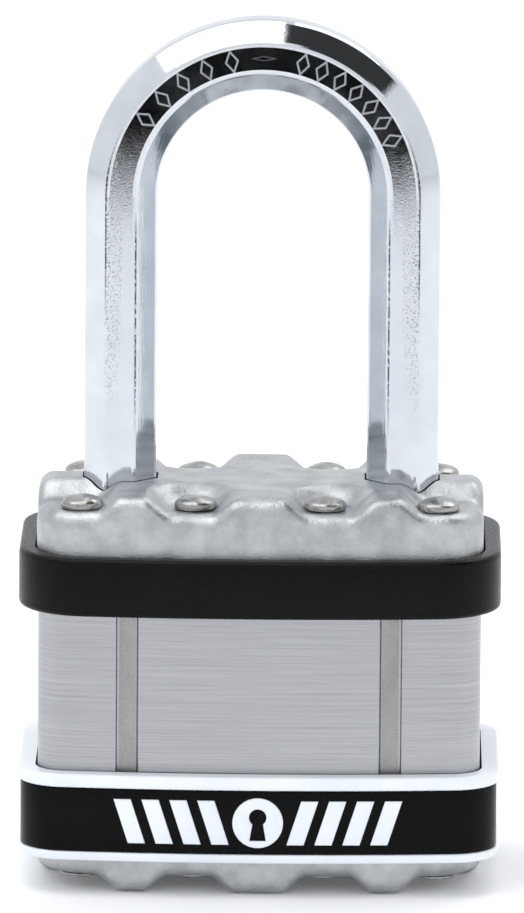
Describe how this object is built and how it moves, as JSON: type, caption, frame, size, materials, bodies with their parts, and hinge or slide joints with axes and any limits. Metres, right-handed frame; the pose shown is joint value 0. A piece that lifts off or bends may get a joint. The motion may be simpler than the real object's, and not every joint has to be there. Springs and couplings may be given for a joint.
{
  "type": "padlock",
  "caption": "Closed laminated padlock with an octagonal shackle, riveted stamped caps, a brushed steel sleeve, a rubber bumper and a plastic lower band.",
  "frame": {"origin": "middle of the lock's footprint, on the plane that the bottom cap rests on", "axes": "+Z from the bottom cap to the top of the shackle, +X from the toe leg to the heel leg, -Y towards the front"},
  "size_m": [0.048, 0.029, 0.0857],
  "materials": {
    "shackle_chrome": "polished plate over hardened steel",
    "cap_steel": "satin stamped steel",
    "sleeve_steel": "horizontally brushed steel",
    "rivet_steel": "polished steel",
    "bumper_rubber": "satin black",
    "carrier_white": "glossy white",
    "inlay_black": "glossy black",
    "plate_steel": "stamped steel",
    "cylinder_brass": "machined brass",
    "plug_brass": "machined brass",
    "pin_brass": "turned brass",
    "spring_steel": "drawn wire",
    "rotor_steel": "plated steel",
    "ball_steel": "ground bearing ball"
  },
  "bodies": {
    "case": {"top_cap": "cap_steel", "bottom_cap": "cap_steel", "case_sleeve": "sleeve_steel", "rivets": "rivet_steel", "upper_bumper": "bumper_rubber", "lower_band_carrier": "carrier_white", "lower_band_inlay": "inlay_black", "cylinder_shell": "cylinder_brass", "chamber_cap": "cylinder_brass", "shackle_spring": "spring_steel", "lamination_01": "plate_steel", "lamination_02": "plate_steel", "lamination_03": "plate_steel", "lamination_04": "plate_steel", "lamination_05": "plate_steel", "lamination_06": "plate_steel", "lamination_07": "plate_steel", "lamination_08": "plate_steel", "lamination_09": "plate_steel", "lamination_10": "plate_steel", "lamination_11": "plate_steel", "lamination_12": "plate_steel", "lamination_13": "plate_steel", "driver_pin_1": "pin_brass", "driver_pin_2": "pin_brass", "driver_pin_3": "pin_brass", "driver_pin_4": "pin_brass", "driver_pin_5": "pin_brass", "pin_spring_1": "spring_steel", "pin_spring_2": "spring_steel", "pin_spring_3": "spring_steel", "pin_spring_4": "spring_steel", "pin_spring_5": "spring_steel"},
    "shackle": {"shackle": "shackle_chrome"},
    "cylinder": {"cylinder_plug": "plug_brass", "plug_retainer_clip": "spring_steel", "rotor": "rotor_steel", "key_pin_1": "pin_brass", "key_pin_2": "pin_brass", "key_pin_3": "pin_brass", "key_pin_4": "pin_brass", "key_pin_5": "pin_brass"},
    "toe_ball": {"toe_ball": "ball_steel"},
    "heel_ball": {"heel_ball": "ball_steel"}
  },
  "joints": [
    {"name": "shackle_lift", "type": "slide", "parent": "case", "child": "shackle", "axis": [0, 0, 1], "range_m": [0, 0.0135], "deforming": ["shackle_spring"]},
    {"name": "key_turn", "type": "hinge", "parent": "case", "child": "cylinder", "pos_m": [0, 0, 0.015], "axis": [0, 0, 1], "range_deg": [-90, 0]},
    {"name": "toe_ball_slide", "type": "slide", "parent": "case", "child": "toe_ball", "axis": [-1, 0, 0], "range_m": [0, 0.0015]},
    {"name": "heel_ball_slide", "type": "slide", "parent": "case", "child": "heel_ball", "axis": [1, 0, 0], "range_m": [0, 0.0015]}
  ],
  "couplings": [
    {"joint": "toe_ball_slide", "follows": "key_turn", "m_per_rad": -0.00095493},
    {"joint": "heel_ball_slide", "follows": "key_turn", "m_per_rad": -0.00095493}
  ]
}
